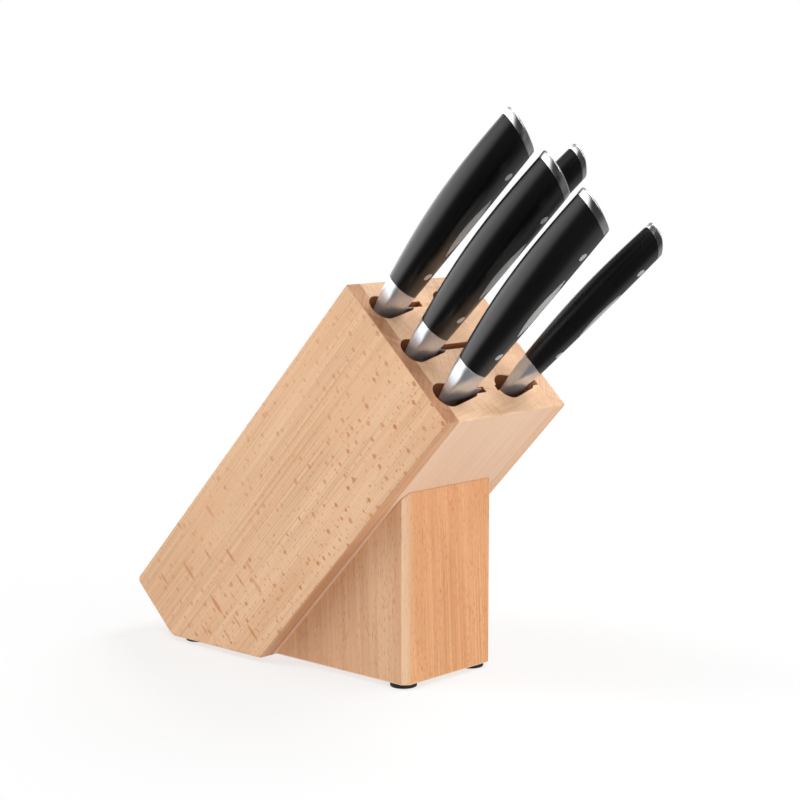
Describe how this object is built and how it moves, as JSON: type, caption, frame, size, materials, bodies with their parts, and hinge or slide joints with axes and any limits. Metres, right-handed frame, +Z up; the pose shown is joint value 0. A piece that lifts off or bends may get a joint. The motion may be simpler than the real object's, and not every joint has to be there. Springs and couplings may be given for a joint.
{
  "type": "knife block with knives",
  "caption": "Slanted laminated wooden knife block on a wedge stand, holding forged kitchen knives with black handles and steel end caps that lift out along their slots.",
  "frame": {"origin": "on the worktop, under the middle of the whole object's box with all the knives home", "axes": "+Z up, -Y the front towards which the handles lean, +X right as seen from the front"},
  "size_m": [0.0908, 0.3086, 0.284],
  "materials": {
    "beech_cheek": "satin oiled beech, flat-sawn grain with brown flecks",
    "beech_core": "satin oiled beech, end grain and edge grain",
    "beech_stand": "satin oiled beech, upright fine grain",
    "beech_dowel": "plain dowel",
    "rubber_foot": "matt black rubber",
    "blade_steel": "forged stainless steel, satin ground",
    "grip": "satin black moulded synthetic",
    "cap_steel": "polished stainless steel",
    "rivet_steel": "satin stainless steel",
    "inlay_steel": "brushed stainless steel, plain"
  },
  "bodies": {
    "root": {"left_cheek": "beech_cheek", "right_cheek": "beech_cheek", "core_board_1": "beech_core", "core_board_2": "beech_core", "core_board_3": "beech_core", "core_board_4": "beech_core", "stand": "beech_stand", "upper_dowel": "beech_dowel", "lower_dowel": "beech_dowel", "front_left_foot": "rubber_foot", "front_right_foot": "rubber_foot", "rear_left_foot": "rubber_foot", "rear_right_foot": "rubber_foot"},
    "bread_knife": {"bread_knife_blade": "blade_steel", "bread_knife_grip": "grip", "bread_knife_end_cap": "cap_steel", "bread_knife_front_rivet": "rivet_steel", "bread_knife_rear_rivet": "rivet_steel", "bread_knife_front_inlay": "inlay_steel", "bread_knife_back_inlay": "inlay_steel"},
    "chef_knife": {"chef_knife_blade": "blade_steel", "chef_knife_grip": "grip", "chef_knife_end_cap": "cap_steel", "chef_knife_front_rivet": "rivet_steel", "chef_knife_rear_rivet": "rivet_steel", "chef_knife_front_inlay": "inlay_steel", "chef_knife_back_inlay": "inlay_steel"},
    "carving_knife": {"carving_knife_blade": "blade_steel", "carving_knife_grip": "grip", "carving_knife_end_cap": "cap_steel", "carving_knife_front_rivet": "rivet_steel", "carving_knife_rear_rivet": "rivet_steel", "carving_knife_front_inlay": "inlay_steel", "carving_knife_back_inlay": "inlay_steel"},
    "paring_knife": {"paring_knife_blade": "blade_steel", "paring_knife_grip": "grip", "paring_knife_end_cap": "cap_steel", "paring_knife_front_rivet": "rivet_steel", "paring_knife_rear_rivet": "rivet_steel", "paring_knife_front_inlay": "inlay_steel", "paring_knife_back_inlay": "inlay_steel"},
    "utility_knife": {"utility_knife_blade": "blade_steel", "utility_knife_grip": "grip", "utility_knife_end_cap": "cap_steel", "utility_knife_front_rivet": "rivet_steel", "utility_knife_rear_rivet": "rivet_steel", "utility_knife_front_inlay": "inlay_steel", "utility_knife_back_inlay": "inlay_steel"}
  },
  "joints": [
    {"name": "bread_knife_lift", "type": "slide", "parent": "root", "child": "bread_knife", "axis": [0, -0.6884, 0.7254], "range_m": [0, 0.215]},
    {"name": "chef_knife_lift", "type": "slide", "parent": "root", "child": "chef_knife", "axis": [0, -0.6884, 0.7254], "range_m": [0, 0.21]},
    {"name": "carving_knife_lift", "type": "slide", "parent": "root", "child": "carving_knife", "axis": [-0.0262, -0.6881, 0.7251], "range_m": [0, 0.18]},
    {"name": "paring_knife_lift", "type": "slide", "parent": "root", "child": "paring_knife", "axis": [0.1564, -0.6799, 0.7164], "range_m": [0, 0.1]},
    {"name": "utility_knife_lift", "type": "slide", "parent": "root", "child": "utility_knife", "axis": [0.1788, -0.6773, 0.7137], "range_m": [0, 0.115]}
  ]
}
